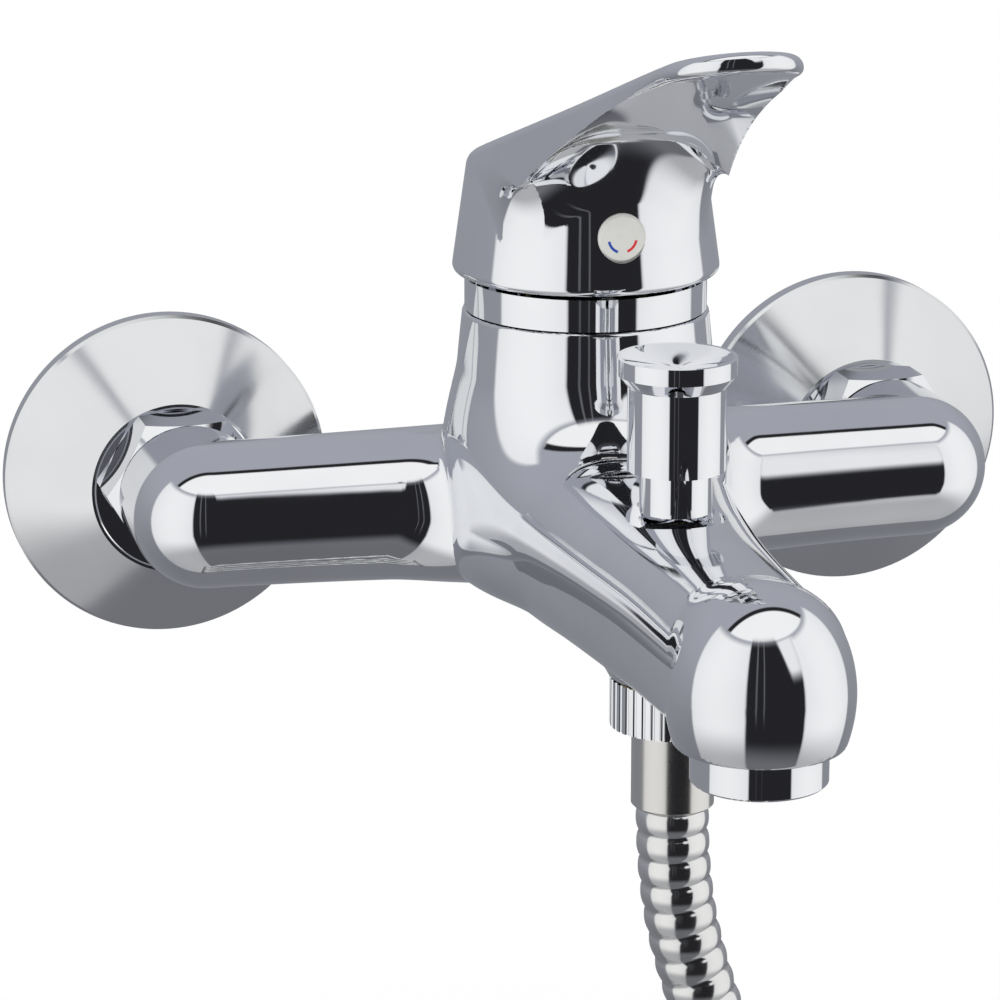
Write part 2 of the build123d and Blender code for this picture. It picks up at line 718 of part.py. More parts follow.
def hose_tube(points):
    """A tube through hand-chosen corners, each rounded as widely as its runs allow."""
    corners = [Vector(*p) for p in points]
    runs = [b - a for a, b in zip(corners, corners[1:])]
    radii = []
    for before, after in zip(runs, runs[1:]):
        turn = radians(before.get_angle(after))
        radii.append(0.45 * min(before.length, after.length) / tan(turn / 2))
    path = FilletPolyline(*corners, radius=radii)
    start = Plane(origin=corners[0], z_dir=runs[0])
    tube = sweep(start * Circle(hose_d / 2), path=path)
    share = tube.volume / (pi * hose_d ** 2 / 4 * path.length)
    print("hose radii", [round(r, 1) for r in radii], "length", round(path.length, 1),
          "volume over section times length", round(share, 4))
    return tube


def steps(start, moves):
    """Corner points from a start, given the length and the angle of each run in XZ."""
    points = [start]
    for length, angle in moves:
        x, y, z = points[-1]
        points.append((x + length * cos(radians(angle)), y, z + length * sin(radians(angle))))
    return points


hose_points = steps((0, diverter_y, ferrule_bottom), [
    (12, -90), (20, -80), (30, -70), (36, -92), (36, -117), (36, -140), (36, -150)])
shower_hose = hose_tube(hose_points)

join_x, join_y, join_z = hose_points[-1]
coil_x = join_x - coil_r * cos(radians(coil_start))
coil_z = join_z - coil_r * sin(radians(coil_start))
coil_place = Location((coil_x, join_y - hose_d / 2, coil_z), (-90, 0, 0))
coil_inner, coil_outer = coil_r - hose_d / 2, coil_r + hose_d / 2
hose_coil = turned([
    (coil_inner, coil_edge), (coil_inner + coil_edge, 0), (coil_outer - coil_edge, 0),
    (coil_outer, coil_edge), (coil_outer, coil_width - coil_edge),
    (coil_outer - coil_edge, coil_width), (coil_inner + coil_edge, coil_width),
    (coil_inner, coil_width - coil_edge)], coil_place)
tie_angle = coil_start + 30.0
tie_place = Location((coil_x, join_y - hose_d / 2 + coil_width / 2, coil_z), (0, -tie_angle, 0))
tie_hole = Box(hose_d + 2 * seat_gap, coil_width + 2 * seat_gap, tie_w)
hose_tie = tie_place * Pos(coil_r, 0, 0) * (
    Box(hose_d + 2 * (seat_gap + tie_t), coil_width + 2 * (seat_gap + tie_t), tie_w) - tie_hole)

end_y = join_y + coil_turns * coil_pitch
end_x = coil_x - coil_r
hose_tail = rod(hose_d / 2, coil_z - tail_l, coil_z, Pos(end_x, end_y, 0))
end_axis = Pos(end_x, end_y, 0)
end_top = coil_z - tail_l
end_ferrule = ring(ferrule_r, hose_stem_r, end_top - end_ferrule_l, end_top, end_axis)
cone_top = end_top - end_ferrule_l - seat_gap
cone_low = cone_top - end_nut_l
cup_low = cone_low + end_nut_l / 2
thread_end = cup_low - hose_flange_t - hose_washer_t
end_nut = turned([
    (hose_stem_r + seat_gap, cone_top), (end_nut_top_r, cone_top), (end_nut_r, cone_low + end_nut_rim),
    (end_nut_r, cone_low), (inlet_thread_r + thread_gap, cone_low),
    (inlet_thread_r + thread_gap, thread_end), (hose_flange_r + seat_gap, thread_end),
    (hose_flange_r + seat_gap, cup_low), (hose_stem_r + seat_gap, cup_low)], end_axis)
end_stem = ring(hose_flange_r, hose_bore_r, cup_low - hose_flange_t, cup_low, end_axis)
end_stem += ring(hose_stem_r, hose_bore_r, cup_low, end_top, end_axis)
end_washer = ring(hose_flange_r, hose_stem_r, thread_end, thread_end + hose_washer_t, end_axis)


# One file for each piece

pieces = {
    "main_body": main_body,
    "cover_ring": cover_ring,
    "cartridge_nut": cartridge_nut,
    "cartridge_housing": cartridge_housing,
    "cartridge_base": cartridge_base,
    "port_seals": port_seals,
    "fixed_disc": fixed_disc,
    "moving_disc": moving_disc,
    "disc_carrier": disc_carrier,
    "cartridge_rotor": cartridge_rotor,
    "rotor_seal": rotor_seal,
    "pivot_pin": pivot_pin,
    "cartridge_spindle": cartridge_spindle,
    "lever_handle": lever_handle,
    "grub_screw": grub_screw,
    "index_button": index_button,
    "diverter_knob": diverter_knob,
    "diverter_spindle": diverter_spindle,
    "diverter_washer": diverter_washer,
    "diverter_valve": diverter_valve,
    "diverter_bonnet": diverter_bonnet,
    "bonnet_seal": bonnet_seal,
    "diverter_spring": diverter_spring,
    "aerator_housing": aerator_housing,
    "aerator_washer": aerator_washer,
    "aerator_insert": aerator_insert,
    "shower_outlet": shower_outlet,
    "hose_washer": hose_washer,
    "hose_nut": hose_nut,
    "hose_stem": hose_stem,
    "hose_ferrule": hose_ferrule,
    "shower_hose": shower_hose,
    "hose_coil": hose_coil,
    "hose_tie": hose_tie,
    "hose_tail": hose_tail,
    "end_ferrule": end_ferrule,
    "end_nut": end_nut,
    "end_stem": end_stem,
    "end_washer": end_washer,
}
for hand, side in (("left", -1), ("right", 1)):
    pieces["s_union_" + hand] = s_union(side)
    pieces["wall_rose_" + hand] = wall_rose(side)
    pieces["union_nut_" + hand] = union_nut(side)
    pieces["inlet_washer_" + hand] = inlet_washer(side)

for name, piece in pieces.items():
    export_step(piece, "parts/" + name + ".step")
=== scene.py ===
# %% [markdown]
# # A wall-mounted bath mixer
# This notebook dresses the engineering model of a chrome bath tap: a casting with two arms
# and a spout, a lever, a diverter knob and a metal shower hose. The frame comes first,
# because each piece that is made here has to sit where the engineering model says.

from math import cos, degrees, pi, radians, sin

import bpy
import numpy as np
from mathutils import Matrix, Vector


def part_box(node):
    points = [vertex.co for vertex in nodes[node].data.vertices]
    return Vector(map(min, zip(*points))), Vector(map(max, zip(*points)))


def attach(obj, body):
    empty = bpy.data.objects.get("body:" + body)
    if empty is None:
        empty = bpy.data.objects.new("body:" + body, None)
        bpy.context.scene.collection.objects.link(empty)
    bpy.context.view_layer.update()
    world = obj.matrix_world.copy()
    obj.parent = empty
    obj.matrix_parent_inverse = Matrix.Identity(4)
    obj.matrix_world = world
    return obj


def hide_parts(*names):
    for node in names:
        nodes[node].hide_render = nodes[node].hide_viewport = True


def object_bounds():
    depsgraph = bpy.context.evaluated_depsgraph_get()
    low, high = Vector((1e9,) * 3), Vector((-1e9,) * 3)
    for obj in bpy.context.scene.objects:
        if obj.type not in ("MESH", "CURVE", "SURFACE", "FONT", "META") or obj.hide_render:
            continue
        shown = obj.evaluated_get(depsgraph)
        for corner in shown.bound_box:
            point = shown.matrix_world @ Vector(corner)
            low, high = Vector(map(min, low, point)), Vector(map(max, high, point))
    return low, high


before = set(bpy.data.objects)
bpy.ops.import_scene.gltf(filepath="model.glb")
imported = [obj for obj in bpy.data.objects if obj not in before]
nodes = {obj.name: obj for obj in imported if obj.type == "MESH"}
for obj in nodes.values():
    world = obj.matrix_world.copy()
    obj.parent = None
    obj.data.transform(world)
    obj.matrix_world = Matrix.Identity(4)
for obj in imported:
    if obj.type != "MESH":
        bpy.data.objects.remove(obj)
cad_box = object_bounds()
scene = bpy.context.scene
scene.view_settings.view_transform = "Standard"
mm = 0.001


# %% [markdown]
# The axes of the tap are read from the frame, so that a new size there moves every piece
# made below. A node's box gives its middle, and the middle of a turned piece is its axis.

# %% Axes of the tap, in millimetres
def middle(node):
    """The middle of a node's box, in millimetres."""
    low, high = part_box(node)
    return (low + high) / 2 / mm


def reach(node):
    """The lowest and the highest corner of a node, in millimetres."""
    low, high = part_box(node)
    return low / mm, high / mm


def half_width(node):
    """Half the width of a turned node, in millimetres."""
    low, high = reach(node)
    return (high.x - low.x) / 2


inlet_x = middle("union_nut_right").x
body_y = middle("cover_ring").y
knob_y = middle("diverter_knob").y
nose_y = middle("aerator_housing").y
ring_low, ring_high = reach("cover_ring")
print("inlets", round(inlet_x, 1), "body", round(body_y, 1), "knob", round(knob_y, 1),
      "nose", round(nose_y, 1))


# %% [markdown]
# The camera stands to the left of the tap and above it. Its place was solved from the two
# inlet axes, which are 150 mm apart, and the round outlines of the roses.

# %% Camera
camera_place = Vector((-227.6, -841.0, 227.9)) * mm
camera_turn, camera_tilt = radians(-15.0), radians(-15.53)
camera_lens, sensor_w = 152.03, 36.0
camera_data = bpy.data.cameras.new("camera")
camera_data.lens = camera_lens
camera_data.sensor_width = sensor_w
camera = bpy.data.objects.new("camera", camera_data)
camera.location = camera_place
camera.rotation_euler = (pi / 2 + camera_tilt, 0, camera_turn)
scene.collection.objects.link(camera)
scene.camera = camera
print("camera", round(camera_place.length, 3), "m away, lens", camera_lens, "mm")


# %% [markdown]
# Shader maths reads best as ordinary expressions. This small class wraps a socket, so that
# `1 - mask * 0.5` adds the Math nodes that it needs. Any other node comes from `node`.

# %% Shader maths
class Maths:
    """A number socket that can be used in an expression."""

    def __init__(self, tree, socket):
        self.tree, self.socket = tree, socket

    def _math(self, operation, first, second=0.0):
        """Adds one Math node."""
        return node(self.tree, "ShaderNodeMath", {"operation": operation}, {0: first, 1: second})

    def __add__(self, other):
        return self._math("ADD", self, other)

    def __radd__(self, other):
        return self._math("ADD", other, self)

    def __sub__(self, other):
        return self._math("SUBTRACT", self, other)

    def __rsub__(self, other):
        return self._math("SUBTRACT", other, self)

    def __mul__(self, other):
        return self._math("MULTIPLY", self, other)

    def __rmul__(self, other):
        return self._math("MULTIPLY", other, self)

    def __truediv__(self, other):
        return self._math("DIVIDE", self, other)

    def __rtruediv__(self, other):
        return self._math("DIVIDE", other, self)

    def size(self):
        """The value without its sign."""
        return self._math("ABSOLUTE", self)

    def root(self):
        return self._math("SQRT", self)

    def sine(self):
        return self._math("SINE", self)

    def power(self, other):
        return self._math("POWER", self, other)

    def modulo(self, other):
        return self._math("MODULO", self, other)

    def either(self, other):
        """The larger of two values."""
        return self._math("MAXIMUM", self, other)

    def arctan2(self, other):
        return self._math("ARCTAN2", self, other)

    def hypot(self, other):
        """The distance that two lengths at a right angle make."""
        return (self * self + other * other).root()

    def step(self, low, high, start=0.0, end=1.0):
        """Goes smoothly from start to end as this value goes from low to high."""
        return node(self.tree, "ShaderNodeMapRange", {"interpolation_type": "SMOOTHSTEP"},
                    {"Value": self, "From Min": low, "From Max": high,
                     "To Min": start, "To Max": end})

    def between(self, low, high, soft):
        """1 between low and high and 0 outside, with soft edges."""
        return self.step(low - soft, low + soft) * self.step(high - soft, high + soft, 1.0, 0.0)


# %% [markdown]
# A few helpers do the rest: `plug` sets or links a socket, `node` adds any node, `mix` blends
# two colours, and `object_place` gives the coordinates that every pattern here is drawn on.
# They stay fixed to a piece when the lever or the knob moves. `noise` and `bump` are what
# nearly every finish uses.

# %% Nodes and links
def plug(tree, socket, value):
    """Sets a socket to a plain value, or links it to another socket."""
    if isinstance(value, Maths):
        value = value.socket
    if isinstance(value, bpy.types.NodeSocket):
        tree.links.new(value, socket)
    elif socket.type == "RGBA" and len(value) == 3:
        socket.default_value = (*value, 1.0)
    else:
        socket.default_value = value


def node(tree, kind, settings=(), sockets=(), output=0):
    """Adds a node: settings are its own properties, and sockets are values or links."""
    made = tree.nodes.new(kind)
    for name, value in dict(settings).items():
        setattr(made, name, value)
    for name, value in dict(sockets).items():
        plug(tree, made.inputs[name], value)
    return Maths(tree, made.outputs[output])


mix_share, mix_first, mix_second, mix_colour = 0, 6, 7, 2  # a Mix node's own colour sockets


def mix(tree, share, first, second):
    """A colour between two colours."""
    made = tree.nodes.new("ShaderNodeMix")
    made.data_type = "RGBA"
    plug(tree, made.inputs[mix_share], share)
    plug(tree, made.inputs[mix_first], first)
    plug(tree, made.inputs[mix_second], second)
    return made.outputs[mix_colour]


def object_place(tree):
    """Object coordinates, in metres."""
    return node(tree, "ShaderNodeTexCoord", output="Object")


def three_numbers(tree, coords):
    """The x, y and z of some coordinates."""
    split = tree.nodes.new("ShaderNodeSeparateXYZ")
    plug(tree, split.inputs[0], coords)
    return [Maths(tree, split.outputs[i]) for i in range(3)]


def noise(tree, coords, scale, detail=2.0, roughness=0.5):
    """Smooth noise from 0 to 1; scale is in waves per metre."""
    return node(tree, "ShaderNodeTexNoise", {"noise_dimensions": "3D"},
                {"Vector": coords, "Scale": scale, "Detail": detail, "Roughness": roughness})


def bump(tree, height, depth):
    """A normal from a height between 0 and 1; depth is in metres."""
    return node(tree, "ShaderNodeBump", {}, {"Height": height, "Distance": depth,
                                             "Strength": 1.0})


# %% [markdown]
# Polished chrome is nearly a mirror, so its finish lies in small things: faint wipe marks
# that change how sharp a reflection is, and the slight waviness of a polished casting.
# Each metal gets wipe marks from noise at two sizes, and differs in colour and in how rough
# it is. The castings and the pressed roses get the waviness too.

# %% Metals
wipe_scale, scratch_scale = 45.0, 420.0
tint_range, smear_range = (0.35, 0.7), (0.4, 0.75)


def material(name):
    """A new material with its tree and its Principled shader."""
    made = bpy.data.materials.new(name)
    made.use_nodes = True
    return made, made.node_tree, made.node_tree.nodes["Principled BSDF"]


def metal(name, colour, rough, smear=0.03, wave=0.0, wave_scale=90.0, tarnish=0.04):
    """Polished metal with wipe marks and, where wave is more than 0, a slight waviness."""
    made, tree, shader = material(name)
    coords = object_place(tree)
    wipes, scratches = noise(tree, coords, wipe_scale, 3.0), noise(tree, coords, scratch_scale)
    dull = tuple(c * (1 - tarnish) for c in colour)
    plug(tree, shader.inputs["Base Color"], mix(tree, wipes.step(*tint_range), colour, dull))
    shader.inputs["Metallic"].default_value = 1.0
    plug(tree, shader.inputs["Roughness"],
         rough + wipes.step(*smear_range) * smear + scratches * smear / 3)
    if wave:
        plug(tree, shader.inputs["Normal"],
             bump(tree, noise(tree, coords, wave_scale, 1.0), wave))
    return made


chrome_white = (0.86, 0.87, 0.89)
cast_chrome = metal("cast chrome", chrome_white, 0.025, wave=0.00002)
turned_chrome = metal("turned chrome", chrome_white, 0.02, smear=0.02)
lever_chrome = metal("lever chrome", chrome_white, 0.022, wave=0.000015)
pressed_rose = metal("pressed rose", (0.76, 0.77, 0.78), 0.11, smear=0.05,
                     wave=0.00003, wave_scale=60.0)
plain_brass = metal("plain brass", (0.80, 0.62, 0.33), 0.22, smear=0.12, tarnish=0.25)
ferrule_steel = metal("ferrule steel", (0.74, 0.73, 0.70), 0.16, smear=0.05)
spring_steel = metal("spring steel", (0.62, 0.62, 0.62), 0.25, smear=0.08)
hose_strip = metal("hose strip", (0.80, 0.80, 0.79), 0.10, smear=0.05)
machined_steel = metal("machined steel", (0.58, 0.58, 0.57), 0.3, smear=0.1)
print("chrome:", [made.name for made in (cast_chrome, turned_chrome, lever_chrome)])


# %% [markdown]
# Plastic, rubber, fibre and ceramic are not metals: light goes a little way in, so their
# own colour shows. Each gets a fine grain in its surface, at the size the real one has.

# %% Plastics, rubber, fibre and ceramic
def plain(name, colour, rough, grain=300.0, depth=0.00002, shade=0.12):
    """A non-metal with a fine grain and slight shading in its colour."""
    made, tree, shader = material(name)
    spots = noise(tree, object_place(tree), grain, 4.0, 0.6)
    dark = tuple(c * (1 - shade) for c in colour)
    plug(tree, shader.inputs["Base Color"], mix(tree, spots, dark, colour))
    plug(tree, shader.inputs["Roughness"], rough + spots * 0.1)
    plug(tree, shader.inputs["Normal"], bump(tree, spots, depth))
    return made


cartridge_plastic = plain("cartridge plastic", (0.72, 0.72, 0.70), 0.4)
aerator_plastic = plain("aerator plastic", (0.78, 0.79, 0.80), 0.35)
seal_rubber = plain("seal rubber", (0.025, 0.025, 0.027), 0.55, grain=900.0)
washer_fibre = plain("washer fibre", (0.33, 0.10, 0.05), 0.8, grain=1500.0, depth=0.00005)
ceramic = plain("ceramic", (0.88, 0.88, 0.86), 0.12, grain=2000.0, depth=0.000002, shade=0.04)
# black plastic for the hose tie, and painted shade on the diverter's bonnet
tie_plastic_and_painted_shade = plain("tie plastic and painted shade", (0.045, 0.045, 0.05), 0.45, grain=700.0)
print("plastics:", [made.name for made in (cartridge_plastic, aerator_plastic, tie_plastic_and_painted_shade)])


# %% [markdown]
# Every engineering piece gets its finish by name. The pieces that are made again below are
# painted too, so that no node is left bare. The diverter's bonnet gets the tie's black as
# painted shade, for the shadow in the hole round the knob's neck.

# %% Which piece has which finish
finishes = [
    (cast_chrome, ["main_body"]),
    (turned_chrome, ["cover_ring", "diverter_knob", "aerator_housing", "hose_nut", "end_nut",
                     "union_nut_left", "union_nut_right", "s_union_left", "s_union_right"]),
    (lever_chrome, ["lever_handle"]),
    (pressed_rose, ["wall_rose_left", "wall_rose_right"]),
    (plain_brass, ["cartridge_nut", "diverter_spindle", "diverter_valve", "shower_outlet",
                   "hose_stem", "end_stem"]),
    (ferrule_steel, ["hose_ferrule", "end_ferrule"]),
    (spring_steel, ["diverter_spring"]),
    (hose_strip, ["shower_hose", "hose_coil", "hose_tail"]),
    (machined_steel, ["pivot_pin", "cartridge_spindle", "grub_screw"]),
    (cartridge_plastic, ["cartridge_housing", "cartridge_base", "disc_carrier",
                         "cartridge_rotor"]),
    (aerator_plastic, ["aerator_insert"]),
    (seal_rubber, ["port_seals", "rotor_seal", "bonnet_seal", "diverter_washer",
                   "aerator_washer", "hose_washer", "end_washer"]),
    (washer_fibre, ["inlet_washer_left", "inlet_washer_right"]),
    (ceramic, ["fixed_disc", "moving_disc"]),
    # the tie's black is its own; on the bonnet it is painted shade in the hole round the knob's
    # neck
    (tie_plastic_and_painted_shade, ["hose_tie", "diverter_bonnet"]),
]


def paint(piece, made):
    """Gives a piece one material."""
    piece.data.materials.clear()
    piece.data.materials.append(made)


for made, names in finishes:
    for name in names:
        paint(nodes[name], made)
print(len(finishes), "finishes on", sum(len(names) for _, names in finishes), "nodes")


# %% [markdown]
# The index button is pale plastic with a blue arc on its left and a red arc on its right.
# Both arcs are part of one circle round the button's middle, so their place is a distance
# from the middle and an angle, counted from straight below. Both are worked out from Object
# coordinates.

# %% Index button
button_low, button_high = reach("index_button")
button_mid = (button_low + button_high) / 2
arc_r, arc_w, arc_soft = 2.75, 0.26, 0.05
arc_start, arc_end, arc_end_soft = radians(20), radians(80), 0.03
print_blue, print_red = (0.01, 0.06, 0.36), (0.62, 0.02, 0.03)
index_print, tree, shader = material("index button")
coords = object_place(tree)
x, _, z = three_numbers(tree, coords)
across, up = x / mm - button_mid.x, z / mm - button_mid.z
turn = across.arctan2(0 - up)
on_ring = across.hypot(up).between(arc_r - arc_w, arc_r + arc_w, arc_soft)
blue = on_ring * turn.between(-arc_end, -arc_start, arc_end_soft)
red = on_ring * turn.between(arc_start, arc_end, arc_end_soft)
grain = noise(tree, coords, 600.0, 3.0)
base = mix(tree, grain, (0.60, 0.60, 0.56), (0.66, 0.66, 0.62))
base = mix(tree, blue, base, print_blue)
plug(tree, shader.inputs["Base Color"], mix(tree, red, base, print_red))
plug(tree, shader.inputs["Roughness"], 0.3 + grain * 0.1)
paint(nodes["index_button"], index_print)
print("index button", round(button_high.x - button_low.x, 1), "mm across")


# %% [markdown]
# The casting and the lever are smooth forms that flow into each other, as polished castings
# do. Edges and loops are awkward for that. A distance field is easier: a formula that says,
# for any point, how far it lies outside a shape. Two shapes are then joined, with a fillet,
# by one line of arithmetic, and a net of small cells finds the surface afterwards.

# %% Joining shapes
def join(first, second, fillet):
    """Both shapes as one, with a fillet in the corner between them."""
    near = np.hypot(np.maximum(fillet - first, 0), np.maximum(fillet - second, 0))
    return np.maximum(fillet, np.minimum(first, second)) - near


def meet(first, second, rounding):
    """What two shapes share, with a rounded edge."""
    return -join(-first, -second, rounding)


def flow(at, places, sizes):
    """A smooth line through sizes that are given at some places."""
    slopes = np.gradient(sizes, places)
    first = np.clip(np.searchsorted(places, at) - 1, 0, len(places) - 2)
    last = first + 1
    gap = places[last] - places[first]
    s = np.clip((at - places[first]) / gap, 0, 1)
    ends = sizes[first] * (1 + 2 * s) * (1 - s) ** 2 + sizes[last] * s ** 2 * (3 - 2 * s)
    return ends + gap * (slopes[first] * s * (1 - s) ** 2 - slopes[last] * s ** 2 * (1 - s))


def oval(across, up, half_w, half_h, power=2.0, least=0.02):
    """Distance along the ray from the middle of an oval, squarer with a higher power."""
    share = (np.abs(across / half_w) ** power + np.abs(up / half_h) ** power) ** (1 / power)
    return np.hypot(across, up) * (1 - 1 / np.maximum(share, least))


print("a point 1 mm from two walls lies", round(float(join(1.0, 1.0, 4.0)), 2),
      "mm from the fillet of 4 mm between them: below 0 is inside")


# %% [markdown]
# The net works like this. The field is worked out at the corners of a grid. Where it changes
# sign along a grid edge, the surface passes, and the four cells round that edge get one
# quad.

# %% Where the surface crosses a grid
def slope(field, spots, small=0.02):
    """How fast the field rises along each axis at some points."""
    return np.stack([(field(*(spots + step).T) - field(*(spots - step).T)) / (2 * small)
                     for step in np.eye(3) * small], 1)


def unit(arrows, least=0.001):
    """The arrows at length 1, unless they are hardly there."""
    return arrows / np.maximum(np.linalg.norm(arrows, axis=1), least)[:, None]


def onto(field, spots, least=0.1):
    """The points moved straight to the surface, and which way it faces there."""
    rise = slope(field, spots)
    steep = np.maximum(np.linalg.norm(rise, axis=1), least)[:, None]
    return spots - rise / steep ** 2 * field(*spots.T)[:, None], rise / steep


def grid_crossings(field, low, high, cell):
    """The crossings of the surface with the grid's edges, and the four cells round each."""
    axes = [np.arange(a, b + cell, cell) for a, b in zip(low, high)]
    values = field(*np.meshgrid(*axes, indexing="ij", sparse=True))
    quads, crossings = [], []
    for axis in range(3):
        near, far = np.delete(values, -1, axis), np.delete(values, 0, axis)
        spots = np.argwhere((near < 0) != (far < 0))
        before, after = near[tuple(spots.T)], far[tuple(spots.T)]
        crossing = spots.astype(float)
        crossing[:, axis] += before / (before - after)
        side, up = np.roll(np.eye(3, dtype=int), -axis, 0)[1:]
        cells = [spots - side - up, spots - up, spots, spots - side]
        quad = np.stack([np.ravel_multi_index(tuple(c.T), values.shape) for c in cells], 1)
        quad[before > 0] = quad[before > 0, ::-1]
        quads.append(quad)
        crossings.append(crossing * cell + np.array(low))
    return np.concatenate(quads), np.concatenate(crossings)


# %% [markdown]
# Each cell's point goes where the flat faces at its crossings meet, so that a sharp rim
# stays sharp, and is then moved straight onto the surface. Without that last move, long
# smooth parts such as the arms would mirror in faint waves.

# %% A net of quads on a field
def surface_net(field, low, high, cell, stay=0.08):
    """Points and quads of the surface where a field is zero."""
    quads, crossings = grid_crossings(field, low, high, cell)
    crossings, faces = onto(field, crossings)
    corner = np.unique(quads, return_inverse=True)[1].reshape(-1)
    count = np.bincount(corner)

    def gather(amount):
        """Adds up an amount over the crossings round each cell."""
        return np.bincount(corner, np.repeat(amount, 4))

    centre = np.stack([gather(crossings[:, a]) / count for a in range(3)], 1)
    # a small set of equations for each cell finds the point nearest to all its flat faces
    lean = np.array([[gather(faces[:, a] * faces[:, b]) for a in range(3)] for b in range(3)])
    lean = lean.transpose(2, 0, 1)
    along = (faces * crossings).sum(1)
    pull = np.stack([gather(faces[:, a] * along) for a in range(3)], 1)
    pull -= np.einsum("nij,nj->ni", lean, centre)
    shift = np.linalg.solve(lean + np.eye(3) * stay, pull[:, :, None])[:, :, 0]
    spots, _ = onto(field, centre + np.clip(shift, -cell, cell))
    return spots, corner.reshape(-1, 4)


def net_piece(name, field, like, cell, made, margin=3.0):
    """A smooth piece from a field in millimetres, where the node like is."""
    low, high = reach(like)
    beyond = Vector((margin,) * 3)
    spots, quads = surface_net(field, low - beyond, high + beyond, cell)
    mesh = bpy.data.meshes.new(name)
    mesh.from_pydata((spots * mm).tolist(), [], quads.tolist())
    piece = bpy.data.objects.new(name, mesh)
    scene.collection.objects.link(piece)
    paint(piece, made)
    print(name, len(quads), "quads")
    return piece


# %% [markdown]
# The field's slope gives the shading its normals too, so reflections stay clean however
# coarse the quads are. Beside a sharp edge one point has two directions. There each side
# takes the slope a little way into its own face, and a face that even then turns too far
# from it keeps its own flat normal.

# %% Clean shading
def per_item(items, what, size=3, kind=float):
    """What each vertex, corner or face of a mesh has, as rows of numbers."""
    values = np.empty(len(items) * size, kind)
    items.foreach_get(what, values)
    return values.reshape(-1, size)


def soften(piece, field, sharp=16.0, inwards=0.3):
    """Shades a piece by its field's slope; sharp is the turn, in degrees, at an edge."""
    mesh = piece.data
    mesh.shade_smooth()
    spots = per_item(mesh.vertices, "co") / mm
    corner = per_item(mesh.loops, "vertex_index", 1, int)[:, 0]
    sides = per_item(mesh.polygons, "loop_total", 1, int)[:, 0]
    flat = np.repeat(per_item(mesh.polygon_normals, "vector"), sides, 0)
    centre = np.repeat(per_item(mesh.polygons, "center"), sides, 0)
    rise = unit(slope(field, spots))[corner]
    edge = (rise * flat).sum(1) < cos(radians(sharp))
    beside = spots[corner[edge]] * (1 - inwards) + centre[edge] / mm * inwards
    own = unit(slope(field, beside))
    own[(own * flat[edge]).sum(1) < cos(radians(3 * sharp))] = 0  # 0 means the flat normal
    rise[edge] = own
    mesh.normals_split_custom_set(rise.tolist())
    print(piece.name, "has", int(edge.sum()), "corners at sharp edges, of", len(corner))


# %% [markdown]
# A hole with a crisp rim that shows, such as the seat of the index button, is drilled
# afterwards with a Boolean modifier, because a net of cells would leave its rim a little
# ragged. The surface round it keeps the shading of the field.

# %% Drilling a clean hole
def plain_mesh(source):
    """The mesh of an object as its modifiers make it."""
    depsgraph = bpy.context.evaluated_depsgraph_get()
    return bpy.data.meshes.new_from_object(source.evaluated_get(depsgraph), depsgraph=depsgraph)


def bore(piece, hole_r, start, end):
    """Drills a clean round hole into a piece, from one point to another."""
    start, end = Vector(start) * mm, Vector(end) * mm
    turn = (end - start).to_track_quat("Z", "Y").to_euler()
    bpy.ops.mesh.primitive_cylinder_add(vertices=96, radius=hole_r * mm, rotation=turn,
                                        depth=(end - start).length, location=(start + end) / 2)
    drill = bpy.context.object
    cut = piece.modifiers.new("bore", "BOOLEAN")
    cut.operation, cut.solver, cut.object = "DIFFERENCE", "EXACT", drill
    piece.data = plain_mesh(piece)
    piece.modifiers.clear()
    bpy.data.objects.remove(drill)


# %% [markdown]
# The casting's barrel, arms and spout are each a short formula. The barrel is a turned form
# with a round bottom. It narrows a little towards the cover ring, which it stops just below.

# %% Casting: the barrel
edge_round, ring_gap = 0.6, 0.2
barrel_r, barrel_top_r, barrel_wide_z, barrel_narrowing = 26.2, 24.4, 18.0, 1.4
barrel_low, barrel_top, barrel_round = -16.0, ring_low.z - ring_gap, 17.0


def barrel(x, y, z):
    """The turned chamber of the casting."""
    up = np.clip((z - barrel_wide_z) / (barrel_top - barrel_wide_z), 0, 1)
    narrower = (barrel_r - barrel_top_r) * up ** barrel_narrowing
    side = np.hypot(x, y - body_y) - barrel_r + narrower
    return meet(meet(side, barrel_low - z, barrel_round), z - barrel_top, edge_round)


print("barrel", 2 * barrel_r, "mm across, up to", round(barrel_top, 1), "mm")


# %% [markdown]
# The arms are widest at the barrel and thin out along a curve towards their elbows. An elbow
# turns back towards the wall round a ball, with a fillet only on the inside of the bend. Its
# tail, with a flange, sits inside the union nut.

# %% Casting: the arms
arm_y, arm_r, arm_root_r, arm_drop, arm_thinning = -44.5, 14.6, 16.5, 1.2, 1.6
elbow_y, elbow_fillet, no_fillet = -29.3, 6.0, 0.01
tail_r, tail_flange_r, tail_flange_y, tail_y = 9.8, 12.2, -26.0, -24.0


def arms(x, y, z):
    """Both arms with their elbows and the tails inside the nuts."""
    out = np.abs(x)
    root = (1 - np.clip(out / inlet_x, 0, 1)) ** arm_thinning
    across = np.hypot(y - arm_y, z + arm_drop * root)
    arm = np.hypot(across, np.maximum(out - inlet_x, 0))
    arm = arm - arm_r - (arm_root_r - arm_r) * root
    axis = np.hypot(out - inlet_x, z)
    leg = meet(np.hypot(axis, np.maximum(arm_y - y, 0)) - arm_r, y - elbow_y, edge_round)
    inner = np.clip((inlet_x - out) / arm_r, 0, 1) * np.clip((y - arm_y) / arm_r, 0, 1)
    bend = np.where(inner > 0, join(arm, leg, no_fillet + elbow_fillet * inner),
                    np.minimum(arm, leg))
    flange = np.maximum(axis - tail_flange_r, tail_flange_y - y)
    tail = np.maximum(np.minimum(axis - tail_r, flange), np.maximum(y - tail_y, arm_y - y))
    return np.minimum(bend, tail)


print("arms", 2 * arm_r, "mm thick at the elbows and", 2 * arm_root_r, "mm at the barrel")


